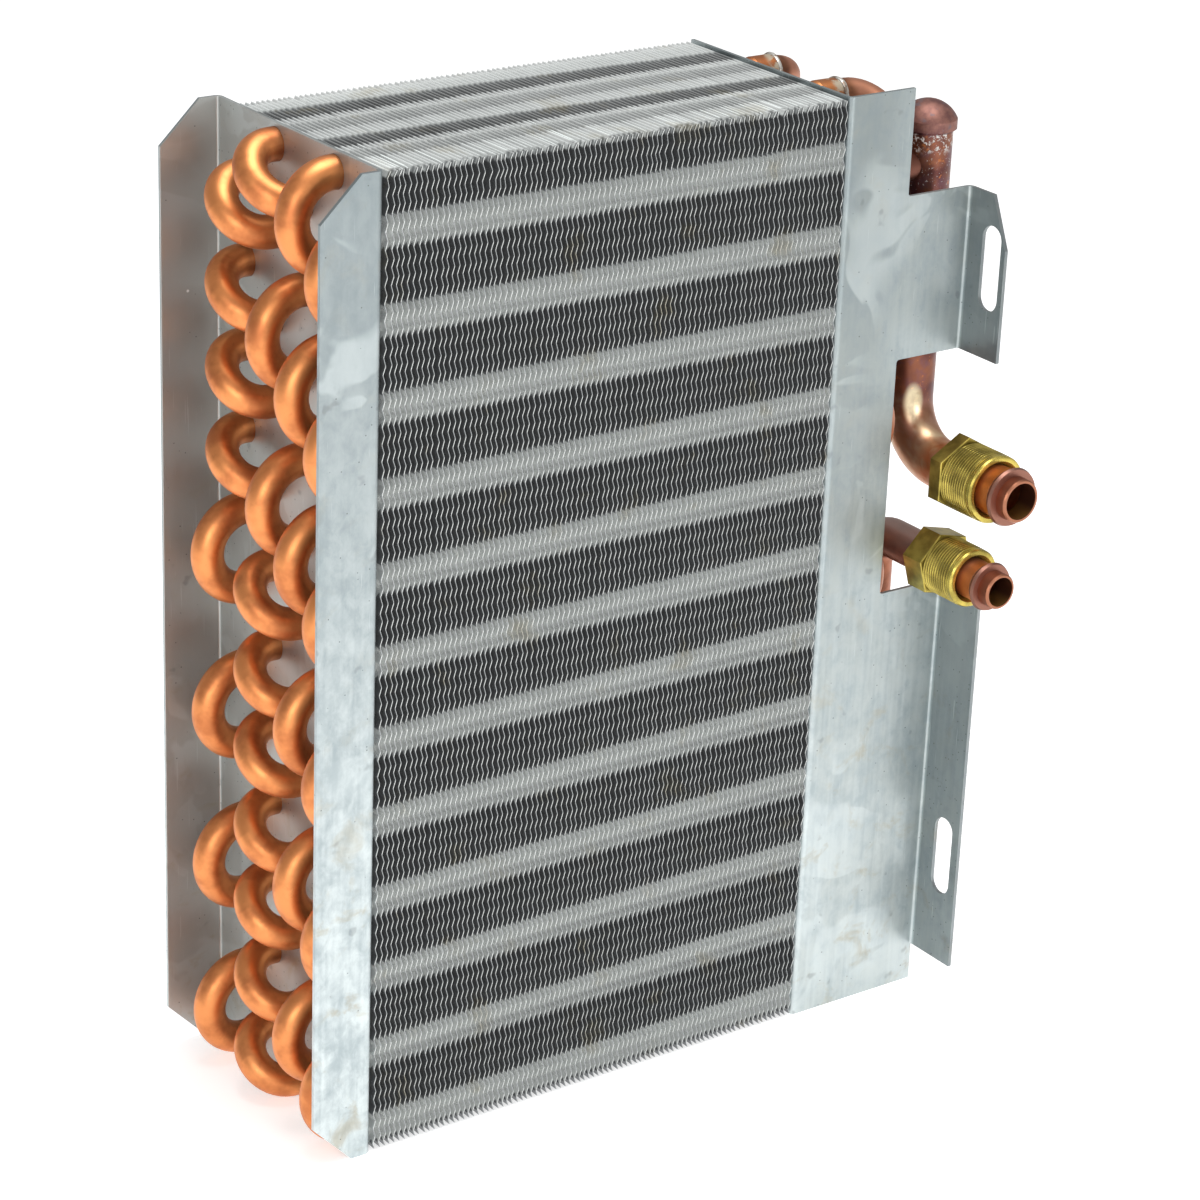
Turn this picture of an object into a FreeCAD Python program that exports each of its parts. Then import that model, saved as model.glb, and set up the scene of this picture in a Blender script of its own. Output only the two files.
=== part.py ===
"""Evaporator core for a vehicle air conditioner, built piece by piece in millimetres.

Sixty copper tubes in five staggered rows run through a pack of plate fins between two folded
steel end plates. Hairpins close the left side. On the right side return bends join the hairpins
into three circuits, and short stubs lead them to a liquid line and a suction header. Both lines
turn to the front and end in a formed tube end with a captive brass nut.

Working frame: X = 0 at the outer face of the left end plate's web, +X to the right, Y = 0 at the
front of the fins, +Y to the back, Z = 0 at the bottom. Every piece is moved by one shift at
export, so that the origin is the bottom centre of the whole core.
"""
import math
import os
from dataclasses import dataclass

import FreeCAD
import Part

# Tube grid
TUBE_PITCH = 25.4  # between two tubes of one row
ROW_PITCH = 15.875  # between two rows, front to back
ROWS = 5
TUBES_PER_ROW = 12
TUBE_OD = 9.9
TUBE_WALL = 0.45
TUBE_FIT = 0.05  # radial gap between a tube and the hole, cup or wall that holds it

# Fins
FIN_BOTTOM = 0.8  # the fins hang this far above the end plates' lower edges
FIN_TRIM = 0.6  # and end this far below the top of the tube grid
FIN_PITCH = 1.8  # the nearest pitch that divides the space between the webs is used
FIN_THICKNESS = 0.2

# End plates
CORE_WIDTH = 162.7  # over the outer faces of the two webs
SHEET = 1.2
FOLD_INSIDE = 0.8
LEFT_ABOVE_FINS = 0.4
LEFT_BEHIND_FINS = 9.525
LEFT_FLANGE = 18.9
LEFT_TOP_CHAMFER = (13.0, 12.6)  # along X and Z
LEFT_BOTTOM_CHAMFER = (13.2, 13.7)
RIGHT_ABOVE_FINS = 0.8
RIGHT_SHORT_OF_FINS = 1.175  # the right web ends this far in front of the fins' back
RIGHT_FLANGE = 23.7  # width of the narrow part of the front flange
TAB_REACH = 49.3  # from the web to the outer face of a tab's lip
UPPER_TAB = (220.0, 271.7)  # from and to, along Z
LOWER_TAB_TOP = 142.7
LOWER_LIP_BOTTOM = 12.7
LOWER_RELIEF = 1.2  # the lower tab is narrower by this below its lip
UPPER_LIP = 17.8
LOWER_LIP = 19.0
UPPER_LIP_CHAMFER = (7.0, 16.0)  # along Y and Z
NOTCH_FILLET = 1.0
SLOT_WIDTH = 8.5
SLOT_LENGTH = 27.0
SLOT_Y = -11.6  # both slots' centres stand in front of the flange by this
UPPER_SLOT_Z = 248.6
LOWER_SLOT_Z = 49.9

# Hairpins and return bends
UPRIGHT_STICK_OUT = 0.75  # straight tube outside the left web before the bend
SLANTED_STICK_OUT = 1.7
LEG_BEYOND = 12.5  # from the right web to the mouth of a hairpin's cup
CUP_DEPTH = 7.5
CUP_WALL = 0.45
CUP_TAPER = 1.5
LONG_BEND_RUN = 3.5  # straight tube beyond the cups of the bends between rows 1 and 2

# Stubs
STUB_RUN = 9.0  # straight tube beyond the cup of a stub that turns to its header
STUB_BEND = 14.0
STUB_REACH = (4.0, 2.0)  # from a header's axis to the stub's end, suction then liquid
LOWEST_INLET_RISE = 14.0  # the lowest inlet climbs this far to clear the cap below it
HEADER_BEHIND_ROW = 0.1875  # the headers' axes stand this far behind the second row's

# Header caps
CAP_WALL = 1.0
CAP_BAND = 3.0

# Formed tube ends
FORMED_LENGTH = 8.0  # the turned end starts this far behind the bead's front
BEAD_RIM = 1.0
BEAD_FOOT = 0.6
EDGE = 0.4  # small chamfers on the bead and on the tip
TIP_CHAMFER = 0.5
THROAT_LENGTH = 3.0  # where the tube's bore narrows to the pilot's bore
THROAT_START = 6.0  # behind the bead's front

# Captive nuts
NUT_FIT = 0.2  # radial gap between a nut and the tube that it turns on
NUT_FACE = 0.2  # a hexagon face's circle is wider than the flats by this, in radius
NUT_CHAMFER = 0.8
NECK = 0.6  # plain neck between the hexagon and the thread
THREAD_STEP = 1.0  # from the thread's crest down to the neck, and as far along the axis

# Cutting and finding
CLEAR = 1.0  # a cutter stands out of the piece that it cuts by this
NEAR = 0.01  # two places closer than this are the same
SIDE_HOLE_LENGTH = 12.0


@dataclass(frozen=True)
class Line:
    """One refrigerant line: an upright header that turns to the front at an elbow."""

    beyond_web: float  # from the right web's outer face to the upright axis
    far_tube: tuple  # row and number of the tube next to the closed end
    far_rise: float  # from that tube's axis up to the closed end
    elbow_z: float
    elbow_radius: float
    od: float
    wall: float
    nut_rear: float  # distances in front of the upright axis from here on
    hex_front: float
    nut_front: float
    hex_across: float
    thread_od: float
    thread_run: float
    hex_turn: float  # angle from +X to the normal of the hexagon's first flat
    bead_front: float
    bead_od: float
    pilot_od: float
    bore: float
    tip: float
    cap_height: float

    @property
    def x(self):
        """Where the upright axis stands along X."""
        return CORE_WIDTH + self.beyond_web

    @property
    def far_z(self):
        """Height of the closed end of the upright part."""
        return tube_at(*self.far_tube).z + self.far_rise


SUCTION = Line(
    beyond_web=50.3, far_tube=(2, 2), far_rise=14.15, elbow_z=179.4, elbow_radius=18.0,
    od=15.9, wall=1.1, nut_rear=25.3, hex_front=30.6, nut_front=44.7, hex_across=22.2,
    thread_od=22.2, thread_run=9.2, hex_turn=0.0, bead_front=52.2, bead_od=19.0,
    pilot_od=14.0, bore=11.8, tip=56.0, cap_height=8.7,
)
LIQUID = Line(
    beyond_web=40.5, far_tube=(3, 12), far_rise=0.65, elbow_z=153.2, elbow_radius=9.5,
    od=12.7, wall=0.9, nut_rear=26.3, hex_front=35.0, nut_front=48.4, hex_across=19.05,
    thread_od=19.05, thread_run=8.6, hex_turn=16.0, bead_front=56.6, bead_od=15.7,
    pilot_od=11.4, bore=9.5, tip=60.9, cap_height=6.5,
)


def vec(x, y, z):
    """A point or a direction."""
    return FreeCAD.Vector(x, y, z)


AXIS_X = vec(1, 0, 0)
AXIS_Y = vec(0, 1, 0)
AXIS_Z = vec(0, 0, 1)

TUBE_RADIUS = TUBE_OD / 2
HOLE_RADIUS = TUBE_RADIUS + TUBE_FIT
GRID_TOP = TUBES_PER_ROW * TUBE_PITCH
CORE_DEPTH = ROWS * ROW_PITCH
FIN_TOP = GRID_TOP - FIN_TRIM
LEFT_HEIGHT = FIN_TOP + LEFT_ABOVE_FINS
LEFT_DEPTH = CORE_DEPTH + LEFT_BEHIND_FINS
RIGHT_HEIGHT = FIN_TOP + RIGHT_ABOVE_FINS
RIGHT_DEPTH = CORE_DEPTH - RIGHT_SHORT_OF_FINS
CUP_MOUTH = CORE_WIDTH + LEG_BEYOND
HEADER_Y = 1.5 * ROW_PITCH + HEADER_BEHIND_ROW


def tube_at(row, tube, x=0.0):
    """A point at distance x on the axis of a tube; rows and tubes count from 1, front and top."""
    stagger = 0.75 if row % 2 else 0.25
    y = (row - 0.5) * ROW_PITCH
    z = GRID_TOP - (tube - 1 + stagger) * TUBE_PITCH
    return vec(x, y, z)


def all_tubes():
    """The row and tube number of each of the sixty tubes."""
    return [(row, tube) for row in range(1, ROWS + 1) for tube in range(1, TUBES_PER_ROW + 1)]


def rod(radius, start, end):
    """A round bar from one point to another."""
    run = end.sub(start)
    return Part.makeCylinder(radius, run.Length, start, run)


def bent_path(points, radius):
    """Straight runs through the points, joined by tangent arcs of one radius."""
    edges = []
    last = points[0]
    for before, corner, after in zip(points, points[1:], points[2:]):
        back = before.sub(corner).normalize()
        ahead = after.sub(corner).normalize()
        half = back.getAngle(ahead) / 2
        cut = radius / math.tan(half)
        start = corner.add(vec(*back).multiply(cut))
        end = corner.add(vec(*ahead).multiply(cut))
        inward = back.add(ahead).normalize()
        middle = corner.add(inward.multiply(radius / math.sin(half) - radius))
        if start.sub(last).Length > 1e-6:
            edges.append(Part.LineSegment(last, start).toShape())
        edges.append(Part.Arc(start, middle, end).toShape())
        last = end
    if points[-1].sub(last).Length > 1e-6:
        edges.append(Part.LineSegment(last, points[-1]).toShape())
    return Part.Wire(edges)


def sweep(path, radius):
    """A round bar along a path."""
    first = path.OrderedEdges[0]
    start = first.valueAt(first.FirstParameter)
    ahead = first.tangentAt(first.FirstParameter)
    ring = Part.Wire(Part.makeCircle(radius, start, ahead))
    return path.makePipeShell([ring], True, False)


def tube_wall(path, od, wall):
    """A hollow tube along a path."""
    return sweep(path, od / 2).cut(sweep(path, od / 2 - wall))


def extruded(outline, run):
    """A prism from a closed list of points."""
    face = Part.Face(Part.makePolygon(outline + [outline[0]]))
    return face.extrude(run)


def revolved(profile, centre, axis):
    """A turned solid from edges in a half plane through the axis."""
    face = Part.Face(Part.Wire(profile))
    return face.revolve(centre, axis, 360)


def segments(points):
    """Straight edges through a closed list of points."""
    ends = points[1:] + points[:1]
    return [Part.LineSegment(a, b).toShape() for a, b in zip(points, ends)]


def fillet_upright(shape, x, y, radius):
    """Round the edges that stand along Z at one place, all at once."""
    def is_here(edge):
        at = edge.CenterOfMass
        box = edge.BoundBox
        upright = box.ZLength > radius and box.XLength < NEAR and box.YLength < NEAR
        return upright and abs(at.x - x) < NEAR and abs(at.y - y) < NEAR
    return shape.makeFillet(radius, [edge for edge in shape.Edges if is_here(edge)])


def tube_holes(x_from, x_to):
    """The sixty round holes between two distances, as one cutter."""
    return Part.makeCompound([
        rod(HOLE_RADIUS, tube_at(row, tube, x_from), tube_at(row, tube, x_to))
        for row, tube in all_tubes()
    ])


def left_end_plate():
    """A folded channel, open to the outside, with chamfered flange corners."""
    blank = extruded([
        vec(-LEFT_FLANGE, 0, 0),
        vec(SHEET, 0, 0),
        vec(SHEET, LEFT_DEPTH, 0),
        vec(-LEFT_FLANGE, LEFT_DEPTH, 0),
        vec(-LEFT_FLANGE, LEFT_DEPTH - SHEET, 0),
        vec(0, LEFT_DEPTH - SHEET, 0),
        vec(0, SHEET, 0),
        vec(-LEFT_FLANGE, SHEET, 0),
    ], vec(0, 0, LEFT_HEIGHT))
    for y_out, y_in in ((0, SHEET), (LEFT_DEPTH, LEFT_DEPTH - SHEET)):
        blank = fillet_upright(blank, SHEET, y_out, FOLD_INSIDE + SHEET)
        blank = fillet_upright(blank, 0, y_in, FOLD_INSIDE)
    along = vec(0, LEFT_DEPTH + 2 * CLEAR, 0)
    for corner_z, (dx, dz) in ((LEFT_HEIGHT, LEFT_TOP_CHAMFER), (0, LEFT_BOTTOM_CHAMFER)):
        inward = -dz if corner_z else dz
        blank = blank.cut(extruded([
            vec(-LEFT_FLANGE, -CLEAR, corner_z),
            vec(-LEFT_FLANGE + dx, -CLEAR, corner_z),
            vec(-LEFT_FLANGE, -CLEAR, corner_z + inward),
        ], along))
    return blank.cut(tube_holes(-CLEAR, SHEET + CLEAR))


def folded_strip(x_web, reach, lip, z_from, z_to):
    """The web, front flange and forward lip of the right plate, over one stretch of Z."""
    x_lip = x_web + reach
    strip = extruded([
        vec(x_web - SHEET, 0, z_from),
        vec(x_lip - SHEET, 0, z_from),
        vec(x_lip - SHEET, -lip, z_from),
        vec(x_lip, -lip, z_from),
        vec(x_lip, SHEET, z_from),
        vec(x_web, SHEET, z_from),
        vec(x_web, RIGHT_DEPTH, z_from),
        vec(x_web - SHEET, RIGHT_DEPTH, z_from),
    ], vec(0, 0, z_to - z_from))
    strip = fillet_upright(strip, x_lip - SHEET, 0, FOLD_INSIDE)
    strip = fillet_upright(strip, x_lip, SHEET, FOLD_INSIDE + SHEET)
    strip = fillet_upright(strip, x_web - SHEET, 0, FOLD_INSIDE + SHEET)
    return fillet_upright(strip, x_web, SHEET, FOLD_INSIDE)


def flat_strip(x_web, reach, z_from, z_to):
    """The web and front flange of the right plate, over one stretch of Z without a lip."""
    strip = extruded([
        vec(x_web - SHEET, 0, z_from),
        vec(x_web + reach, 0, z_from),
        vec(x_web + reach, SHEET, z_from),
        vec(x_web, SHEET, z_from),
        vec(x_web, RIGHT_DEPTH, z_from),
        vec(x_web - SHEET, RIGHT_DEPTH, z_from),
    ], vec(0, 0, z_to - z_from))
    strip = fillet_upright(strip, x_web - SHEET, 0, FOLD_INSIDE + SHEET)
    return fillet_upright(strip, x_web, SHEET, FOLD_INSIDE)


def slot(z):
    """A cutter for one upright slot with round ends in a tab's lip."""
    x = CORE_WIDTH + TAB_REACH - SHEET - CLEAR
    half = (SLOT_LENGTH - SLOT_WIDTH) / 2
    radius = SLOT_WIDTH / 2
    front, back = SLOT_Y - radius, SLOT_Y + radius
    low, high = z - half, z + half
    outline = Part.Wire([
        Part.LineSegment(vec(x, front, low), vec(x, front, high)).toShape(),
        Part.Arc(vec(x, front, high), vec(x, SLOT_Y, high + radius), vec(x, back, high)).toShape(),
        Part.LineSegment(vec(x, back, high), vec(x, back, low)).toShape(),
        Part.Arc(vec(x, back, low), vec(x, SLOT_Y, low - radius), vec(x, front, low)).toShape(),
    ])
    return Part.Face(outline).extrude(vec(SHEET + 2 * CLEAR, 0, 0))


def notch_rounds():
    """Fillets in the flange's plane where a tab grows out of the narrow flange."""
    x = CORE_WIDTH + RIGHT_FLANGE
    pieces = []
    for z, side in ((LOWER_TAB_TOP, 1), (UPPER_TAB[0], -1), (UPPER_TAB[1], 1)):
        away = side * NOTCH_FILLET
        block = extruded([
            vec(x, 0, z),
            vec(x + NOTCH_FILLET, 0, z),
            vec(x + NOTCH_FILLET, 0, z + away),
            vec(x, 0, z + away),
        ], vec(0, SHEET, 0))
        round_end = Part.makeCylinder(
            NOTCH_FILLET, SHEET + 2 * CLEAR, vec(x + NOTCH_FILLET, -CLEAR, z + away), AXIS_Y)
        pieces.append(block.cut(round_end))
    return pieces


def right_end_plate():
    """A folded angle with two forward tabs, each with a slotted lip."""
    below_lip = TAB_REACH - LOWER_RELIEF
    strips = [
        flat_strip(CORE_WIDTH, below_lip, 0, LOWER_LIP_BOTTOM),
        folded_strip(CORE_WIDTH, TAB_REACH, LOWER_LIP, LOWER_LIP_BOTTOM, LOWER_TAB_TOP),
        flat_strip(CORE_WIDTH, RIGHT_FLANGE, LOWER_TAB_TOP, UPPER_TAB[0]),
        folded_strip(CORE_WIDTH, TAB_REACH, UPPER_LIP, *UPPER_TAB),
        flat_strip(CORE_WIDTH, RIGHT_FLANGE, UPPER_TAB[1], RIGHT_HEIGHT),
    ]
    plate = strips[0].fuse(strips[1:] + notch_rounds()).removeSplitter()
    dy, dz = UPPER_LIP_CHAMFER
    x = CORE_WIDTH + TAB_REACH - SHEET - CLEAR
    corner = extruded([
        vec(x, -UPPER_LIP, UPPER_TAB[1]),
        vec(x, -UPPER_LIP + dy, UPPER_TAB[1]),
        vec(x, -UPPER_LIP, UPPER_TAB[1] - dz),
    ], vec(SHEET + 2 * CLEAR, 0, 0))
    cutters = [corner, slot(UPPER_SLOT_Z), slot(LOWER_SLOT_Z)]
    cutters.append(tube_holes(CORE_WIDTH - SHEET - CLEAR, CORE_WIDTH + CLEAR))
    return plate.cut(cutters)


def fin_pack():
    """Thin plates at an even pitch between the webs, each with a hole for every tube."""
    gap = CORE_WIDTH - 2 * SHEET
    count = round(gap / FIN_PITCH)
    pitch = gap / count
    sheet = Part.makeBox(
        FIN_THICKNESS, CORE_DEPTH, FIN_TOP - FIN_BOTTOM, vec(0, 0, FIN_BOTTOM))
    fin = sheet.cut(tube_holes(-CLEAR, FIN_THICKNESS + CLEAR)).Solids[0]
    fins = []
    for number in range(count):
        copy = fin.copy()
        copy.translate(vec(SHEET + (number + 0.5) * pitch - FIN_THICKNESS / 2, 0, 0))
        fins.append(copy)
    return Part.makeCompound(fins)


def hairpins():
    """The tube pairs that the hairpins join on the left side."""
    pairs = [((row, k), (row, k + 1)) for row in (1, 2) for k in range(1, TUBES_PER_ROW, 2)]
    pairs += [((3, k), (3, k + 1)) for k in (2, 4)]
    pairs += [((3, k), (4, k)) for k in (1, *range(6, TUBES_PER_ROW + 1))]
    pairs += [((4, k + 1), (5, k)) for k in range(1, 5)]
    pairs += [((5, k), (5, k + 1)) for k in range(5, TUBES_PER_ROW, 2)]
    return pairs


def return_bends():
    """The tube pairs that return bends join on the right side, by the node that holds them."""
    crossed = [((4, k), (5, k)) for k in range(1, TUBES_PER_ROW + 1)]
    return {
        "row_1": [((1, k), (1, k + 1)) for k in range(2, 11, 2)],
        "rows_1_2": [((1, k), (2, k)) for k in (1, TUBES_PER_ROW)],
        "row_2": [((2, k), (2, k + 1)) for k in (6, 8)],
        "rows_2_3": [((2, k), (3, k)) for k in (4, 5)],
        "row_3": [((3, k), (3, k + 1)) for k in (1, 6, 8, 10)],
        "rows_4_5_upper": crossed[:6],
        "rows_4_5_lower": crossed[6:],
    }


def u_turn(first, second, x_open, x_turn):
    """A path from x_open along one tube, around at x_turn and back along another tube."""
    side = 1 if x_turn > x_open else -1
    centre_gap = tube_at(*second).sub(tube_at(*first)).Length
    x_corner = x_turn + side * centre_gap / 2
    points = [
        tube_at(*first, x_open),
        tube_at(*first, x_corner),
        tube_at(*second, x_corner),
        tube_at(*second, x_open),
    ]
    return bent_path(points, centre_gap / 2)


def cup(row, tube):
    """The outside and the inside of the widened end of a hairpin's leg."""
    wide = HOLE_RADIUS + CUP_WALL
    x_seat = CUP_MOUTH - CUP_DEPTH
    taper = Part.makeCone(
        TUBE_RADIUS, wide, CUP_TAPER, tube_at(row, tube, x_seat - CUP_TAPER), AXIS_X)
    sleeve = rod(wide, tube_at(row, tube, x_seat), tube_at(row, tube, CUP_MOUTH))
    socket = rod(
        HOLE_RADIUS, tube_at(row, tube, x_seat), tube_at(row, tube, CUP_MOUTH + CLEAR))
    return [taper, sleeve], socket


def hairpin(first, second):
    """A tube bent once on the left, with both legs widened into cups on the right."""
    slanted = first[0] != second[0]
    x_turn = -(SLANTED_STICK_OUT if slanted else UPRIGHT_STICK_OUT)
    path = u_turn(first, second, CUP_MOUTH, x_turn)
    outside = sweep(path, TUBE_RADIUS)
    inside = sweep(path, TUBE_RADIUS - TUBE_WALL)
    for row, tube in (first, second):
        shell, socket = cup(row, tube)
        outside = outside.fuse(shell)
        inside = inside.fuse(socket)
    return outside.cut(inside)


def hairpin_name(first, second):
    """A node name that tells which tubes a hairpin joins."""
    if first[0] == second[0]:
        return f"hairpin_row_{first[0]}_tubes_{first[1]}_{second[1]}"
    return f"hairpin_rows_{first[0]}_{second[0]}_tubes_{first[1]}_{second[1]}"


def return_bend(first, second):
    """A short bend with both ends seated in two cups."""
    longer = LONG_BEND_RUN if (first[0], second[0]) == (1, 2) else 0
    path = u_turn(first, second, CUP_MOUTH - CUP_DEPTH, CUP_MOUTH + longer)
    return tube_wall(path, TUBE_OD, TUBE_WALL)


def stub_path(row, tube, line, reach, rise):
    """The path of a stub from its cup to a header; rise lifts its end along the header."""
    start = tube_at(row, tube, CUP_MOUTH - CUP_DEPTH)
    axis_point = vec(line.x, HEADER_Y, start.z + rise)
    if abs(start.y - HEADER_Y) < ROW_PITCH / 2:
        straight = vec(line.x - reach, start.y, start.z)
        return Part.Wire([Part.LineSegment(start, straight).toShape()])
    turn = tube_at(row, tube, CUP_MOUTH + STUB_RUN)
    ahead = axis_point.sub(turn).normalize()
    end = axis_point.sub(ahead.multiply(reach))
    return bent_path([start, turn, end], STUB_BEND)


def stubs():
    """The path of each stub, by its name, for the two lines."""
    suction_reach, liquid_reach = STUB_REACH
    suction = {
        "outlet_stub_upper": stub_path(2, 2, SUCTION, suction_reach, 0),
        "outlet_stub_middle": stub_path(2, 3, SUCTION, suction_reach, 0),
        "outlet_stub_lower": stub_path(3, 3, SUCTION, suction_reach, 0),
    }
    liquid = {
        "inlet_stub_upper": stub_path(2, 10, LIQUID, liquid_reach, 0),
        "inlet_stub_middle": stub_path(2, 11, LIQUID, liquid_reach, 0),
        "inlet_stub_lower": stub_path(3, 12, LIQUID, liquid_reach, LOWEST_INLET_RISE),
    }
    return suction, liquid


def side_hole(path):
    """A cutter for the hole where a stub enters a header, from the stub's end outwards."""
    last = path.OrderedEdges[-1]
    end = last.valueAt(last.LastParameter)
    start = last.valueAt(last.FirstParameter)
    back = start.sub(end).normalize()
    deep = end.sub(vec(*back).multiply(CLEAR))
    return Part.makeCylinder(HOLE_RADIUS, SIDE_HOLE_LENGTH, deep, back)


def front_point(line, distance, radius=0.0):
    """A point in front of a line's elbow, at a radius above the fitting's axis."""
    return vec(line.x, HEADER_Y - distance, line.elbow_z + radius)


def formed_end(line):
    """The outside of the tube end: bead, pilot and chamfered tip, turned about its axis."""
    tube_r = line.od / 2
    bead_r = line.bead_od / 2
    pilot_r = line.pilot_od / 2
    rim = line.bead_front - BEAD_RIM
    foot = rim - (bead_r - tube_r) - BEAD_FOOT
    start = line.bead_front - FORMED_LENGTH
    points = [
        front_point(line, start),
        front_point(line, start, tube_r),
        front_point(line, foot, tube_r),
        front_point(line, rim, bead_r),
        front_point(line, line.bead_front, bead_r - EDGE),
        front_point(line, line.bead_front, pilot_r),
        front_point(line, line.tip - TIP_CHAMFER, pilot_r),
        front_point(line, line.tip, pilot_r - EDGE),
        front_point(line, line.tip),
    ]
    return revolved(segments(points), points[0], AXIS_Y)


def header(line, paths):
    """An upright tube with an elbow, a formed front end and the holes for its stubs."""
    throat_start = line.bead_front - THROAT_START
    throat_end = throat_start + THROAT_LENGTH
    path = bent_path([
        vec(line.x, HEADER_Y, line.far_z),
        vec(line.x, HEADER_Y, line.elbow_z),
        front_point(line, throat_start),
    ], line.elbow_radius)
    outside = sweep(path, line.od / 2).fuse(formed_end(line))
    inside = sweep(path, line.od / 2 - line.wall)
    throat = Part.makeCone(
        line.od / 2 - line.wall, line.bore / 2, THROAT_LENGTH,
        front_point(line, throat_start), vec(0, -1, 0))
    bore = rod(
        line.bore / 2, front_point(line, throat_end), front_point(line, line.tip + CLEAR))
    return outside.cut([inside, throat, bore] + [side_hole(p) for p in paths])


def header_cap(line):
    """A domed cap over the closed end of a header."""
    up = 1 if line.far_z > line.elbow_z else -1
    inner_r = line.od / 2 + TUBE_FIT
    outer_r = inner_r + CAP_WALL
    base = line.far_z - up * CAP_BAND

    def at(radius, height):
        return vec(line.x + radius, HEADER_Y, base + up * height)

    def dome(radius, foot, crown):
        sphere = (radius ** 2 + (crown - foot) ** 2) / (2 * (crown - foot))
        half = math.asin(radius / sphere) / 2
        middle = at(sphere * math.sin(half), crown - sphere * (1 - math.cos(half)))
        return Part.Arc(at(radius, foot), middle, at(0, crown)).toShape()

    profile = [
        Part.LineSegment(at(inner_r, 0), at(outer_r, 0)).toShape(),
        Part.LineSegment(at(outer_r, 0), at(outer_r, CAP_BAND)).toShape(),
        dome(outer_r, CAP_BAND, line.cap_height),
        Part.LineSegment(at(0, line.cap_height), at(0, line.cap_height - CAP_WALL)).toShape(),
        dome(inner_r, CAP_BAND, line.cap_height - CAP_WALL),
        Part.LineSegment(at(inner_r, CAP_BAND), at(inner_r, 0)).toShape(),
    ]
    return revolved(profile, vec(line.x, HEADER_Y, 0), AXIS_Z)


def nut(line):
    """A captive nut: a chamfered hexagon behind a male thread, on the tube's bore."""
    flat = line.hex_across / 2
    corner = flat / math.cos(math.pi / 6)
    thread_r = line.thread_od / 2
    hexagon = []
    for step in range(6):
        angle = math.radians(line.hex_turn + 30 + 60 * step)
        hexagon.append(front_point(line, line.nut_rear).add(
            vec(corner * math.cos(angle), 0, corner * math.sin(angle))))
    prism = extruded(hexagon, vec(0, line.nut_rear - line.hex_front, 0))
    turned = revolved(segments([
        front_point(line, line.nut_rear),
        front_point(line, line.nut_rear, flat + NUT_FACE),
        front_point(line, line.nut_rear + NUT_CHAMFER, corner),
        front_point(line, line.hex_front - NUT_CHAMFER, corner),
        front_point(line, line.hex_front, flat + NUT_FACE),
        front_point(line, line.hex_front),
    ]), front_point(line, 0), AXIS_Y)
    root = thread_r - THREAD_STEP
    inside_hexagon = line.hex_front - CLEAR
    neck_end = line.hex_front + NECK
    thread_start = neck_end + THREAD_STEP
    thread_end = thread_start + line.thread_run
    barrel = revolved(segments([
        front_point(line, inside_hexagon),
        front_point(line, inside_hexagon, root),
        front_point(line, neck_end, root),
        front_point(line, thread_start, thread_r),
        front_point(line, thread_end, thread_r),
        front_point(line, thread_end + THREAD_STEP, root),
        front_point(line, line.nut_front - NUT_CHAMFER, root),
        front_point(line, line.nut_front, root - NUT_CHAMFER),
        front_point(line, line.nut_front),
    ]), front_point(line, 0), AXIS_Y)
    bore = rod(
        line.od / 2 + NUT_FIT,
        front_point(line, line.nut_rear - CLEAR), front_point(line, line.nut_front + CLEAR))
    return prism.common(turned).fuse(barrel).cut(bore)


def all_pieces():
    """Every piece of the core, by its node name."""
    pieces = {
        "left_end_plate": left_end_plate(),
        "right_end_plate": right_end_plate(),
        "fin_pack": fin_pack(),
    }
    for first, second in hairpins():
        pieces[hairpin_name(first, second)] = hairpin(first, second)
    for place, pairs in return_bends().items():
        bends = [return_bend(first, second) for first, second in pairs]
        pieces[f"return_bends_{place}"] = Part.makeCompound(bends)
    suction_paths, liquid_paths = stubs()
    for name, path in {**suction_paths, **liquid_paths}.items():
        pieces[name] = tube_wall(path, TUBE_OD, TUBE_WALL)
    pieces["suction_header"] = header(SUCTION, suction_paths.values())
    pieces["suction_header_cap"] = header_cap(SUCTION)
    pieces["suction_nut"] = nut(SUCTION)
    pieces["liquid_line"] = header(LIQUID, liquid_paths.values())
    pieces["liquid_line_cap"] = header_cap(LIQUID)
    pieces["liquid_nut"] = nut(LIQUID)
    return pieces


def origin_shift():
    """The move that puts the bottom centre of the core's outline at the origin."""
    x_right = SUCTION.x + SUCTION.hex_across / 2
    y_front = HEADER_Y - LIQUID.tip
    return vec(-(x_right - LEFT_FLANGE) / 2, -(y_front + LEFT_DEPTH) / 2, 0)


def main():
    """Build every piece and export it."""
    os.makedirs("parts", exist_ok=True)
    shift = origin_shift()
    for name, shape in all_pieces().items():
        shape.translate(shift)
        shape.exportStep(f"parts/{name}.step")


main()
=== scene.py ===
"""Evaporator core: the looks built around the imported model.

Lengths are in millimetres of the row frame until a mesh is made, and in metres from there on.
"""

import logging
import math
from dataclasses import dataclass
from enum import Enum

import bpy
import numpy as np
from bpy.types import Material, Node, NodeSocket, Object
from mathutils import Matrix, Vector

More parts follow.
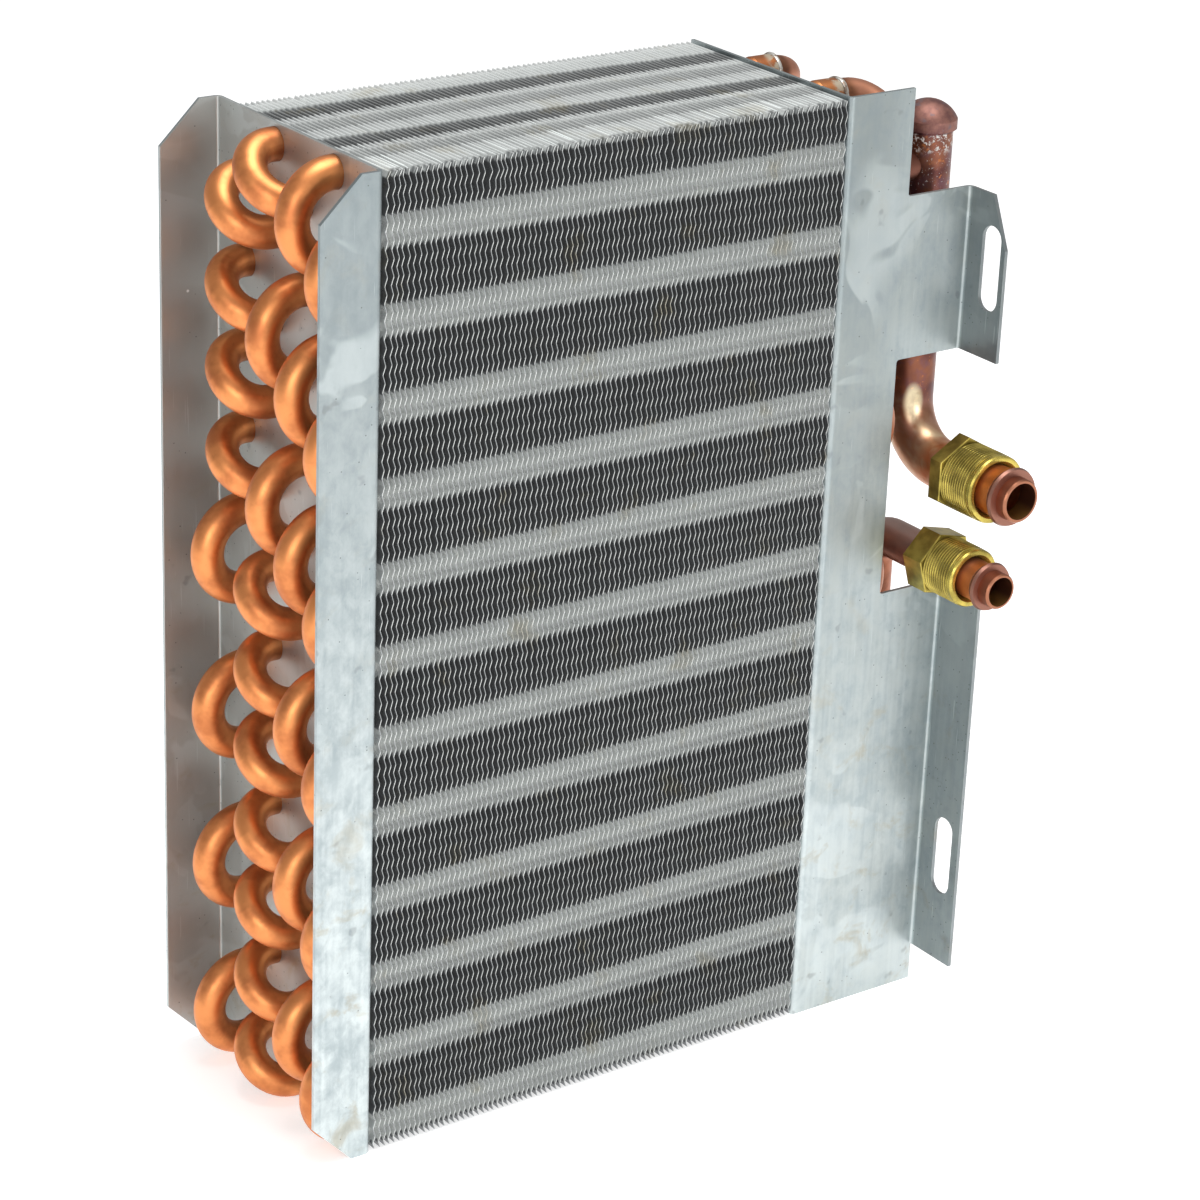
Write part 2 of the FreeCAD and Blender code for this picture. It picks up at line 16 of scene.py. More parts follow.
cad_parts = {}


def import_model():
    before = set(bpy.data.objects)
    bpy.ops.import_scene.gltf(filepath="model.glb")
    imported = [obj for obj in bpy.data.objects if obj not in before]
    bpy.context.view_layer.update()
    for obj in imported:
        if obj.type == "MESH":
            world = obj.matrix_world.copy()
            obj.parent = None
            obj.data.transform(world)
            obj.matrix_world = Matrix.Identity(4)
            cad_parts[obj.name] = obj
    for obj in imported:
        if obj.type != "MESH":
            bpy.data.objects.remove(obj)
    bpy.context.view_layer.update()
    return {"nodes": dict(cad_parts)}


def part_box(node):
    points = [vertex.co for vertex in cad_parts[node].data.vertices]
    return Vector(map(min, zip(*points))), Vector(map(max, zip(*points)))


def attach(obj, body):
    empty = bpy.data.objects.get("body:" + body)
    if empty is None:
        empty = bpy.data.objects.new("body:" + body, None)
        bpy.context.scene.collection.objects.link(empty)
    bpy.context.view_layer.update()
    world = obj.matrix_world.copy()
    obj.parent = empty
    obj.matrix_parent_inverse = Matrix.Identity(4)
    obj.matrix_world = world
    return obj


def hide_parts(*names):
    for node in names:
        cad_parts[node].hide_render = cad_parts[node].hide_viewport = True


LOG = logging.getLogger("evaporator_core")
MM = 0.001
LINES_Y = -2.0  # the axis of the upright lines, which the nuts' distances run forwards from
Colour = tuple[float, float, float, float]
Coat = tuple[object, Colour]
Pair = tuple[float, float]
Triple = tuple[float, float, float]


def rgb(red: int, green: int, blue: int) -> Colour:
    """A screen colour of 0 to 255 a channel as a linear colour."""
    parts = [c / 255 for c in (red, green, blue)]
    linear = [c / 12.92 if c < 0.04045 else ((c + 0.055) / 1.055) ** 2.4 for c in parts]
    return (*linear, 1.0)


def bell(distance: np.ndarray, reach: float) -> np.ndarray:
    """A bump of height 1 that fades with the square of the distance over the reach."""
    return np.exp(-((distance / reach) ** 2))


def rise(value: np.ndarray, low: float, high: float) -> np.ndarray:
    """A step from 0 at low to 1 at high with level ends: t squared times (3 minus 2 t)."""
    t = np.clip((value - low) / (high - low), 0, 1)
    return t * t * (3 - 2 * t)


def even_angles(count: int) -> np.ndarray:
    """That many angles, spread evenly over a full turn."""
    return np.arange(count) * 2 * math.pi / count


def placed(name: str, data: object) -> Object:
    """A new object, linked to the scene."""
    made = bpy.data.objects.new(name, data)
    bpy.context.scene.collection.objects.link(made)
    return made


class Slot(Enum):
    """The record's material slots, which new pieces are handed by name."""

    FINS = "fin_aluminium"
    TUBES = "tube_copper"
    NUTS = "brass"


class Shell:
    """Closed skins made of rings of points, to be turned into one mesh."""

    def __init__(
        self, rings: np.ndarray, looped: bool = False, value: np.ndarray | None = None,
    ) -> None:
        """Work out the faces of skins through rings of points, closed around each ring.

        A point of skin k is rings[k, i, j], with i along the skin and j around it. The two ends
        are closed by fans round their centres, or joined to each other where looped is set. The
        signed volume of the first skin tells which way round its faces run outwards.

        Args:
            rings: points of all skins, shaped (skins, rings, points around, 3).
            looped: whether the last ring joins the first.
            value: a number for each point, shaped as rings without its last axis.
        """
        skins, length, around, _ = rings.shape
        if value is None:
            value = np.zeros(rings.shape[:3])
        extra = skins * length * around
        near = np.arange(extra).reshape(skins, length, around)
        far = np.roll(near, -1, axis=1)
        points = [rings.reshape(-1, 3)]
        values = [value.reshape(-1)]
        tris = [np.zeros((0, 3), int)]
        if not looped:
            for end, backwards in ((0, False), (length - 1, True)):
                points.append(rings[:, end].mean(axis=1))
                values.append(value[:, end].mean(axis=1))
                hub = np.repeat(np.arange(skins)[:, None] + extra, around, axis=1)
                rim, rim_ahead = near[:, end], np.roll(near[:, end], -1, axis=1)
                fan = (hub, rim, rim_ahead) if backwards else (hub, rim_ahead, rim)
                tris.append(np.stack(fan, axis=-1).reshape(-1, 3))
                extra += skins
            near, far = near[:, :-1], far[:, :-1]
        corners = (near, np.roll(near, -1, axis=2), np.roll(far, -1, axis=2), far)
        quads = np.stack(corners, axis=-1).reshape(-1, 4)
        flat = np.concatenate(points)
        first = quads[: len(quads) // skins]
        a, b, c, d = (flat[first[:, k]] for k in range(4))
        middle = flat[first.reshape(-1)].mean(axis=0)
        volume = np.einsum("ij,ij->i", a - middle, np.cross(b - middle, c - middle)).sum()
        volume += np.einsum("ij,ij->i", a - middle, np.cross(c - middle, d - middle)).sum()
        order = -1 if volume < 0 else 1
        self.points = flat * MM
        self.values = np.concatenate(values)
        self.quads = quads[:, ::order]
        self.tris = np.concatenate(tris)[:, ::order]

    def build(self, name: str, body: str, slot: Slot, sharp: float = 40.0) -> Object:
        """Make the object, name its body, and smooth it up to an angle.

        Args:
            name: the piece's name.
            body: the body it rides on.
            slot: the record's material slot; not used.
            sharp: edges that turn by more than this many degrees stay crisp.

        Returns:
            The new object, at the origin.
        """
        mesh = bpy.data.meshes.new(name)
        mesh.vertices.add(len(self.points))
        mesh.vertices.foreach_set("co", self.points.astype(np.float32).ravel())
        corners = np.concatenate([self.quads.ravel(), self.tris.ravel()]).astype(np.int32)
        sides = np.repeat([4, 3], [len(self.quads), len(self.tris)])
        starts = (np.cumsum(sides) - sides).astype(np.int32)
        mesh.loops.add(len(corners))
        mesh.loops.foreach_set("vertex_index", corners)
        mesh.polygons.add(len(starts))
        mesh.polygons.foreach_set("loop_start", starts)
        mesh.polygons.foreach_set("use_smooth", np.ones(len(starts), bool))
        mesh.update(calc_edges=True)
        mesh.set_sharp_from_angle(angle=math.radians(sharp))
        # Each point's painted-shade value.
        shade_attribute = mesh.attributes.new("shade_value", "FLOAT", "POINT")
        shade_attribute.data.foreach_set("value", self.values.astype(np.float32))
        piece = placed(name, mesh)
        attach(piece, body)
        LOG.info("%s: %d faces on %s", name, len(starts), body)
        return piece


class Num:
    """A number socket of a material; an expression on it adds Math nodes."""

    def __init__(self, paint: "Paint", socket: NodeSocket) -> None:
        """Wrap one output socket."""
        self.paint = paint
        self.socket = socket

    def math(self, operation: str, first: object, second: object = 0.0) -> "Num":
        """One Math node on two values."""
        made = self.paint.node("ShaderNodeMath", {"operation": operation}, {0: first, 1: second})
        return Num(self.paint, made.outputs[0])

    def __add__(self, other: object) -> "Num":
        """Sum."""
        return self.math("ADD", self, other)

    __radd__ = __add__

    def __sub__(self, other: object) -> "Num":
        """Difference."""
        return self.math("SUBTRACT", self, other)

    def __rsub__(self, other: object) -> "Num":
        """Difference, the other way round."""
        return self.math("SUBTRACT", other, self)

    def __mul__(self, other: object) -> "Num":
        """Product."""
        return self.math("MULTIPLY", self, other)

    __rmul__ = __mul__

    def __truediv__(self, other: object) -> "Num":
        """Quotient."""
        return self.math("DIVIDE", self, other)

    def __abs__(self) -> "Num":
        """Size without sign."""
        return self.math("ABSOLUTE", self)

    def wave(self) -> "Num":
        """Sine."""
        return self.math("SINE", self)

    def fraction(self) -> "Num":
        """What is left after the whole part."""
        return self.math("FRACT", self)

    def least(self, other: object) -> "Num":
        """The smaller of two."""
        return self.math("MINIMUM", self, other)

    def most(self, other: object) -> "Num":
        """The larger of two."""
        return self.math("MAXIMUM", self, other)

    def between(self, low: float, high: float, start: float = 0.0, end: float = 1.0) -> "Num":
        """A step with level ends: start below low, end above high."""
        made = self.paint.node(
            "ShaderNodeMapRange", {"interpolation_type": "SMOOTHSTEP"},
            {0: self, 1: low, 2: high, 3: start, 4: end})
        return Num(self.paint, made.outputs[0])

    def until(self, low: float, high: float) -> "Num":
        """A step with level ends that falls: 1 below low, 0 above high."""
        return self.between(low, high, 1.0, 0.0)


class Paint:
    """One material, built node by node around a single surface shader.

    A glow is left out of the light sampling, because it is faint and spread over many faces.
    """

    def __init__(self, name: str, **constant: object) -> None:
        """Make the material.

        Args:
            name: the material's name.
            constant: values of the shader's own sockets, with _ for a space in the names.
        """
        self.material = bpy.data.materials.new(name)
        self.material.use_nodes = True
        self.material.cycles.emission_sampling = "NONE"
        self.tree = self.material.node_tree
        self.shader = self.tree.nodes["Principled BSDF"]
        for key, value in constant.items():
            self.shader.inputs[key.replace("_", " ")].default_value = value
        self.coords = self.node("ShaderNodeTexCoord").outputs[3]
        split = self.node("ShaderNodeSeparateXYZ", {}, {0: self.coords})
        self.x, self.y, self.z = (Num(self, split.outputs[k]) * 1000.0 for k in range(3))

    def node(
        self, kind: str, settings: dict[str, object] | None = None,
        inputs: dict[object, object] | None = None,
    ) -> Node:
        """Add a node.

        Args:
            kind: the node's type.
            settings: its own properties, set before its sockets.
            inputs: a number, colour, link or Num for each socket, by index or name.

        Returns:
            The node.
        """
        made = self.tree.nodes.new(kind)
        for key, value in (settings or {}).items():
            setattr(made, key, value)
        for key, value in (inputs or {}).items():
            self.feed(made.inputs[key], value)
        return made

    def feed(self, socket: NodeSocket, value: object) -> None:
        """Link or set one input socket."""
        if isinstance(value, Num):
            value = value.socket
        if isinstance(value, NodeSocket):
            self.tree.links.new(value, socket)
        else:
            socket.default_value = value

    def stretched(self, scale: Triple) -> NodeSocket:
        """Object coordinates with each axis multiplied."""
        made = self.node(
            "ShaderNodeVectorMath", {"operation": "MULTIPLY"}, {0: self.coords, 1: scale})
        return made.outputs[0]

    def noise(
        self, size: float, detail: float = 2.0, rough: float = 0.5, bend: float = 0.0,
        scale: Triple = (1.0, 1.0, 1.0),
    ) -> Num:
        """Cloudy noise around 0.5 whose lumps are about size millimetres across."""
        made = self.node("ShaderNodeTexNoise", {}, {
            "Vector": self.stretched(scale), "Scale": 1000.0 / size, "Detail": detail,
            "Roughness": rough, "Distortion": bend})
        return Num(self, made.outputs[0])

    def specks(self, size: float, share: float, radius: float) -> Num:
        """A mask of round specks, on about that share of cells of size millimetres."""
        made = self.node("ShaderNodeTexVoronoi", {}, {
            "Vector": self.coords, "Scale": 1000.0 / size})
        split = self.node("ShaderNodeSeparateColor", {}, {0: made.outputs["Color"]})
        chosen = Num(self, split.outputs[0]).between(1 - share, 1 - share + 0.01)
        near = Num(self, made.outputs["Distance"]).until(radius * 0.5, radius)
        return chosen * near

    def shade_value(self) -> Num:
        """The piece's own painted-shade value."""
        made = self.node("ShaderNodeAttribute", {"attribute_name": "shade_value"})
        return Num(self, made.outputs["Fac"])

    def mix(self, factor: object, first: object, second: object) -> NodeSocket:
        """A colour between two colours."""
        made = self.node(
            "ShaderNodeMix", {"data_type": "RGBA"}, {0: factor, 6: first, 7: second})
        return made.outputs[2]

    def layers(self, base: object, *coats: Coat) -> NodeSocket:
        """A base colour under coats, each with its mask."""
        for mask, colour in coats:
            base = self.mix(mask, base, colour)
        return base

    def shine(self, *coats: Coat) -> None:
        """Set the glow: black under coats, each with its mask."""
        self.feed(self.shader.inputs["Emission Color"], self.layers(rgb(0, 0, 0), *coats))

    def finish(
        self, colour: object, rough: object, metal: object = None, height: object = None,
        depth: float = 0.0,
    ) -> Material:
        """Join the results to the shader.

        Args:
            colour: base colour.
            rough: roughness.
            metal: metallic share, where it varies.
            height: relief from 0 to 1.
            depth: how high the relief stands, in millimetres.

        Returns:
            The finished material.
        """
        self.feed(self.shader.inputs["Base Color"], colour)
        self.feed(self.shader.inputs["Roughness"], rough)
        if metal is not None:
            self.feed(self.shader.inputs["Metallic"], metal)
        if height is not None:
            bump = self.node("ShaderNodeBump", {}, {
                "Strength": 1.0, "Distance": depth * MM, "Height": height})
            self.feed(self.shader.inputs["Normal"], bump.outputs[0])
        return self.material


@dataclass(frozen=True)
class Galvanised:
    """Zinc-coated steel sheet: clouds, upright roll streaks, stains, dark pinholes and scratches.

    It gets darker with height. The outside of the left web and the inner face of its back flange
    are greyer than the other flanges as a painted shade, the slotted lips are greyer than the other
    flanges too, and the right plate is a little greener.
    """

    name: str = "galvanised_sheet"
    pale: Colour = rgb(214, 222, 222)
    dull: Colour = rgb(164, 175, 178)
    upper: Colour = rgb(126, 135, 137)
    grey: Colour = rgb(178, 179, 176)
    lip_grey: Colour = rgb(104, 108, 110)
    speck: Colour = rgb(84, 88, 88)
    fleck: Colour = rgb(244, 246, 246)
    stain: Colour = rgb(168, 158, 134)
    moss: Colour = rgb(132, 138, 132)
    right_x: float = 58.0
    web_x: float = -101.6
    flange_front: float = -24.0
    flange_back: float = 62.3
    lip_x: float = 107.6
    lip_y: float = -26.8
    tab_x: Pair = (70.0, 90.0)
    dark_height: Pair = (20.0, 300.0)
    stain_height: Pair = (60.0, 170.0)

    def build(self) -> Material:
        """The finished material."""
        paint = Paint(self.name, Metallic=0.85)
        cloud = paint.noise(34.0, 3.0, 0.5, 0.5)
        drift = paint.noise(12.0, 3.0, 0.55, 0.4, (1.0, 1.0, 0.45))
        streak = paint.noise(1.6, scale=(1.0, 1.0, 0.03))
        fine = paint.noise(0.4)
        mottle = paint.noise(4.5, 4.0, 0.65, 0.3, (1.0, 1.0, 0.7))
        tone = (cloud * 0.3 + drift * 0.3 + mottle * 0.6 + streak * 0.2).between(0.5, 0.9)
        moss = (paint.x - self.right_x).between(0.0, 4.0) * (
            (drift * 0.5 + mottle * 0.5).between(0.36, 0.62, 0.04, 0.34))
        # Painted shade: the outside of the left web and the inner face of its back flange are
        # greyed where they face away from the light; the white flecks lie on the same faces.
        shaded_inside = (paint.x - self.web_x).until(-0.4, 0.2) * (
            (paint.y - self.flange_front).between(0.0, 0.6)) * (
            (paint.y - self.flange_back).until(-0.1, 0.1))
        lip = (paint.x - self.lip_x).between(0.0, 0.8) * (paint.y - self.lip_y).until(-0.8, 0.0)
        high = paint.z.between(*self.dark_height) * paint.x.between(*self.tab_x, 0.8, 0.5)
        pinholes = paint.specks(1.9, 0.13, 0.15) * 0.75
        smudge = paint.noise(7.0).between(0.68, 0.76) * 0.35
        swirl = paint.noise(30.0, 2.0, 0.5, 1.6).between(0.5, 0.56) * (
            paint.noise(40.0, 1.0).between(0.4, 0.6)) * 0.3
        stain = paint.noise(13.0, 4.0, 0.65, 0.5).between(0.54, 0.72) * (
            paint.z.between(*self.stain_height, 0.55, 0.12))
        fleck = paint.specks(7.0, 0.16, 0.09) * shaded_inside
        scratch = paint.noise(0.5, 1.0, scale=(1.0, 0.5, 0.03)).between(0.72, 0.76) * 0.3
        colour = paint.layers(
            self.dull, (tone, self.pale), (high, self.upper), (shaded_inside * 0.9, self.grey),
            (moss, self.moss), (swirl, self.pale), (stain, self.stain),
            (lip * 0.6, self.lip_grey), (pinholes, self.speck), (smudge, self.lip_grey),
            (scratch, self.pale), (fleck, self.fleck))
        rough = 0.3 + 0.12 * cloud + 0.08 * streak + 0.06 * fine
        return paint.finish(colour, rough, None, fine * 0.5 + streak * 0.5, 0.008)


@dataclass(frozen=True)
class FinMetal:
    """Bare aluminium strip, with painted reflections of the collars near it and painted shade
    between them.

    From the front, painted reflections of the collars of the first row make light bands, each with
    a painted highlight of bright streaks at its top on the segments of the ripple that lean back,
    and the back is the same. From the top, painted light makes bands along the depth, with painted
    shade in the gaps behind the uppermost tubes. A faint glow stands for light that is mirrored
    between the strips more often than a render does.
    """

    grid: "TubeGrid"
    ripple_length: float
    first_crest: float
    name: str = "fin_strip"
    lit_edge: Colour = rgb(212, 214, 212)
    edge_shade: Colour = rgb(156, 159, 160)
    face: Colour = rgb(114, 116, 119)
    bright: Colour = rgb(206, 208, 206)
    dirt: Colour = rgb(150, 138, 98)
    highlight_stroke: Colour = rgb(250, 252, 246)
    glow: Colour = rgb(226, 230, 230)
    band_above_tube: float = 6.1
    band_height: float = 8.4
    band_wobble: float = 1.2
    band_reach: Pair = (4.0, 9.0)
    stroke_height: Pair = (1.5, 2.6)
    stroke_reach: Pair = (0.5, 1.1)
    edge_reach: Pair = (0.12, 0.3)
    gap_reach: Pair = (1.0, 14.0)
    gap_light: float = 0.026
    band_light: Pair = (0.06, 0.07)
    stroke_light: float = 0.6
    roof_gap_light: float = 0.03
    roof_light: Pair = (0.12, 0.16)
    roof_edge_light: float = 0.25
    roof_middle: float = -20.0
    roof_depth: float = 1.4
    roof_shade: tuple[Pair, ...] = ((25.6, 34.8), (57.4, 67.2))
    roof_half_shade: tuple[Pair, ...] = ((13.5, 21.5), (43.5, 52.5))
    roof_shade_slits: Pair = (0.9, 2.6)
    roof_slope: float = 0.024
    roof_soft: float = 0.9

    def build(self) -> Material:
        """The finished material."""
        paint = Paint(self.name, Metallic=0.85, Emission_Strength=1.0)
        pitch = self.grid.tube_pitch
        below = self.grid.top - paint.z
        inner = paint.y - self.grid.front
        deep = inner.least(self.grid.depth - inner)
        first = self.grid.odd_row * pitch - self.band_above_tube
        # Painted reflection: light bands where the fins mirror the collars of the first row, from
        # the front and from the back.
        wobble = (paint.noise(8.0) - 0.5) * self.band_wobble
        fall = ((below - first) / pitch).fraction() * pitch + wobble
        foot = self.band_height + 1.4 * abs(deep - 1.1).least(1.1)
        band_reflection = fall.between(0.0, 0.5) * (fall - foot).until(0.0, 0.6) * (
            deep.until(*self.band_reach))
        # Painted highlight: bright streaks at the top of each band, on the segments of the ripple
        # that lean back and face the light.
        phase = (below - self.first_crest) * (2 * math.pi / self.ripple_length)
        lean = phase.wave().between(-0.3, 0.5)
        highlight_strokes = fall.between(0.0, 0.3) * fall.until(*self.stroke_height) * (
            deep.until(*self.stroke_reach)) * lean
        # Painted light and shade on the top: the top is painted lit, with painted shade in the gaps
        # behind the uppermost tubes, half shade before them and dark gaps near the front; the top
        # edges are painted light.
        under_top = self.grid.fin_top - paint.z
        roof = under_top.until(self.roof_depth, self.roof_depth + 0.8)
        lumps = paint.noise(3.0, 1.0)
        slant = (paint.x - self.roof_middle) * self.roof_slope
        sway = inner + slant + (lumps - 0.5) * self.band_wobble
        dark = self.zones(sway, self.roof_shade)
        grey = self.zones(sway, self.roof_half_shade) * 0.5
        shade_slits = self.zones(inner, (self.roof_shade_slits,)) * lumps.between(0.42, 0.52)
        unlit = (dark * 0.92).most(grey).most(shade_slits * 0.9)
        roof_lit = roof * (1 - unlit) * inner.between(0.3, 0.9)
        top_edge = under_top.until(0.1, 0.3)
        cloud = paint.noise(14.0, 3.0, 0.6)
        stain = cloud.between(0.58, 0.74) * 0.5
        # Painted light and shade on the front edges: light where the ripple leans back, shaded
        # where it leans forward.
        rim = paint.mix(lean.most(highlight_strokes), self.edge_shade, self.lit_edge)
        # The bright coat is painted light: the reflected bands, the lit top and its top edges,
        # which are dimmed in the painted shade.
        colour = paint.layers(
            self.face, (band_reflection.most(roof_lit), self.bright), (deep.until(*self.edge_reach), rim),
            (top_edge * (1 - dark * 0.3), self.bright), (stain, self.dirt))
        gap_light = deep.between(*self.gap_reach, self.gap_light, 0.0)
        band, roof_band = (
            plain + clouded * cloud for plain, clouded in (self.band_light, self.roof_light))
        light = band_reflection * band + roof_lit * roof_band + roof_lit * top_edge * self.roof_edge_light + (
            gap_light.most(roof * self.roof_gap_light))
        paint.shine((light, self.glow), (highlight_strokes * self.stroke_light, self.highlight_stroke))
        return paint.finish(colour, 0.22 + 0.12 * lumps)

    def zones(self, place: Num, spans: tuple[Pair, ...]) -> Num:
        """A mask of several stretches along one direction, each with soft ends."""
        soft = self.roof_soft
        mask, *others = (
            place.between(low - soft, low + soft) * place.until(high - soft, high + soft)
            for low, high in spans)
        for other in others:
            mask = mask.most(other)
        return mask


@dataclass(frozen=True)
class CollarMetal:
    """The fins' drawn collars round the tubes: bright, with a dark slit between two collars."""

    name: str = "fin_collars"
    bright: Colour = rgb(196, 198, 196)
    slit: Colour = rgb(52, 52, 52)
    pitch: float = 1.8
    first: float = -101.4

    def build(self) -> Material:
        """The finished material."""
        paint = Paint(self.name, Metallic=0.35)
        phase = (paint.x - self.first) * (2 * math.pi / self.pitch)
        slit = phase.wave().between(0.93, 0.99)
        fine = paint.noise(0.8)
        colour = paint.layers(self.bright, (slit, self.slit))
        return paint.finish(colour, 0.35 + 0.15 * fine)


@dataclass(frozen=True)
class TubeCopper:
    """Satin tube copper: bright on the bends, browner at the webs, pale past the brazed joints.

    Grey flux lies in patches before each joint, and heat has darkened the tube past it.
    """

    cup_mouth: float
    name: str = "tube_copper_satin"
    bright: Colour = rgb(232, 152, 94)
    brown: Colour = rgb(196, 120, 74)
    scorch: Colour = rgb(84, 58, 48)
    pale: Colour = rgb(242, 172, 142)
    maroon: Colour = rgb(104, 66, 58)
    flux: Colour = rgb(176, 168, 148)
    left_web: float = -102.6
    right_web: float = 60.1
    header_side: float = 93.0

    def build(self) -> Material:
        """The finished material."""
        paint = Paint(self.name)
        cloud = paint.noise(9.0, 3.0, 0.55)
        film = paint.noise(3.0, 3.0, 0.6)
        fine = paint.noise(0.35)
        draw = paint.noise(0.6, 1.0, scale=(0.08, 1.0, 0.5))
        past_cup = paint.x - self.cup_mouth
        past_web = paint.x - self.right_web
        near_left = (paint.x - self.left_web).between(-4.0, -0.3) * 0.4
        beyond = past_cup.between(0.0, 6.0)
        joint = past_cup.between(-1.5, 0.0) * past_cup.until(2.5, 6.0)
        burnt = (joint * (cloud * 1.8 - 0.2)).most(0.0).least(0.9)
        flux = past_cup.between(-4.5, -2.0) * past_cup.until(0.0, 1.5) * (
            paint.noise(4.0, 3.0, 0.6).between(0.44, 0.54) * 0.85)
        at_web = past_web.between(0.0, 5.0, 0.45, 0.12) * past_web.between(-8.0, -4.0)
        far = (paint.x - self.header_side).between(0.0, 6.0) * 0.85
        colour = paint.layers(
            self.bright, (cloud.between(0.38, 0.72), self.brown),
            (beyond * (0.6 + 0.4 * film), self.pale),
            (film.between(0.6, 0.75) * 0.3, self.brown),
            (near_left.most(at_web), self.scorch), (burnt, self.scorch), (flux, self.flux),
            (far, self.maroon))
        rough = 0.33 + 0.14 * cloud + 0.1 * fine + 0.12 * burnt
        return paint.finish(colour, rough, 1 - 0.7 * flux, draw * 0.6 + fine * 0.4, 0.006)


@dataclass(frozen=True)
class FormedEnd:
    """Colours of a formed tube end: orange in the nut, mauve bead, brown pilot, and a bore in
    painted shade with painted light on its lower wall.
    """

    x: float
    z: float
    bead_back: float
    bead_front: float
    tip: float
    bore: float
    orange: Colour = rgb(200, 112, 52)
    mauve: Colour = rgb(148, 106, 92)
    brown: Colour = rgb(150, 90, 66)
    rim: Colour = rgb(168, 114, 88)
    lit_bore_gold: Colour = rgb(222, 170, 92)
    black: Colour = rgb(118, 74, 54)

    def over(self, paint: Paint, colour: object) -> NodeSocket:
        """The line's colour with the end's own colours on top.

        Args:
            paint: the line's material.
            colour: its colour so far.

        Returns:
            The layered colour.
        """
        across = paint.x - self.x
        above = paint.z - self.z
        square = across * across + above * above
        behind_bead = paint.y - self.bead_back
        behind_tip = paint.y - self.tip
        # Painted shade in the bore, dark as a recess, with painted light on its lower wall near the
        # mouth.
        shaded_inside = square.until((self.bore + 0.02) ** 2, (self.bore + 0.2) ** 2) * (
            behind_tip.between(0.1, 0.6))
        forward = behind_bead.until(0.2, 12.0)
        bead = behind_bead.until(-0.2, 0.3)
        pilot = (paint.y - self.bead_front).until(-0.3, 0.1)
        lip = behind_tip.until(0.2, 0.7)
        low = above.until(-self.bore, -0.4 * self.bore)
        return paint.layers(
            colour, (forward * 0.9, self.orange), (bead, self.mauve), (pilot, self.brown),
            (lip * 0.8, self.rim), (shaded_inside, self.black), (shaded_inside * low * 0.8, self.lit_bore_gold))


@dataclass(frozen=True)
class HeatedCopper:
    """Copper of the suction header: maroon and brown blotches, heat tint and white flux.

    The elbow has a straw-coloured painted highlight on its front left, partly as a glow of its own.
    """

    name: str = "header_copper_heated"
    brown: Colour = rgb(138, 88, 66)
    maroon: Colour = rgb(88, 54, 54)
    plum: Colour = rgb(104, 76, 88)
    ember: Colour = rgb(190, 116, 66)
    warm: Colour = rgb(216, 156, 114)
    pink: Colour = rgb(198, 160, 144)
    straw: Colour = rgb(240, 228, 190)
    orange: Colour = rgb(196, 122, 72)
    flux: Colour = rgb(226, 226, 222)
    end: FormedEnd = FormedEnd(110.4, 179.4, -51.0, -54.2, -58.0, 5.9)
    elbow: float = 179.4
    joint: float = 284.2
    nut_rear: float = -27.3
    painted_highlight: Triple = (106.5, -9.0, 197.0)
    gleam_size: Pair = (3.2, 6.5)
    gleam_facing: Pair = (0.59, 0.81)
    gleam_light: float = 0.24
    bend_height: Pair = (4.0, 22.0)
    nut_reach: Pair = (4.0, 15.0)

    def build(self) -> Material:
        """The finished material."""
        paint = Paint(self.name, Emission_Strength=1.0)
        cloud = paint.noise(14.0, 3.0, 0.5, 0.6)
        blot = paint.noise(6.0, 3.0, 0.55, 0.4)
        fine = paint.noise(0.5, 3.0, 0.6)
        low = (paint.z - self.elbow).until(*self.bend_height)
        near_nut = (paint.y - self.nut_rear).until(*self.nut_reach)
        left = (paint.x - self.end.x).until(-7.5, -3.0)
        to_joint = paint.z - self.joint
        near_cap = to_joint.between(-7.5, -4.5)
        crust = paint.noise(1.5, 3.0, 0.7).between(0.53, 0.63) * near_cap
        specks = paint.noise(0.9, 2.0, 0.7).between(0.62, 0.68) * (
            paint.noise(6.0).between(0.45, 0.6)) * to_joint.between(-24.0, -8.0)
        flux = crust.most(specks)
        # Painted shade: a dark band in the groove under the cap's lip.
        groove_shade = to_joint.between(-1.2, -0.6)
        embers = paint.noise(2.4, 3.0, 0.7).between(0.6, 0.7) * (1 - low) * 0.7
        # Painted highlight: a straw-coloured patch on the elbow's front left that faces the camera,
        # which also glows a little.
        left_share, front_share = self.gleam_facing
        wide = (paint.x - self.painted_highlight[0]) * front_share - (paint.y - self.painted_highlight[1]) * left_share
        ahead = (self.end.x - paint.x) * left_share - (paint.y - LINES_Y) * front_share
        across = wide / self.gleam_size[0]
        along = (paint.z - self.painted_highlight[2]) / self.gleam_size[1]
        painted_highlight = (across * across + along * along).until(0.1, 1.3) * (
            ahead.between(2.0, 5.0)) * blot.between(0.3, 0.6, 0.6, 1.0)
        colour = paint.layers(
            self.maroon, (cloud.between(0.35, 0.65), self.brown),
            (blot.between(0.5, 0.7) * 0.6, self.plum),
            (embers, self.ember),
            (low * 0.85, self.warm),
            (low * blot.between(0.45, 0.65) * 0.5, self.pink),
            (low * cloud.between(0.4, 0.6) * 0.8, self.straw),
            (low * left * 0.3, self.maroon),
            (near_nut * blot.between(0.4, 0.6, 0.5, 0.95), self.orange),
            (painted_highlight * 0.6, self.straw),
            (flux * 0.85, self.flux),
            (groove_shade * 0.8, self.maroon))
        paint.shine((painted_highlight * self.gleam_light, self.straw))
        rough = 0.24 + 0.2 * cloud + 0.08 * fine + 0.3 * flux
        return paint.finish(
            self.end.over(paint, colour), rough, 0.92 - 0.8 * flux, fine * 0.5 + flux, 0.03)


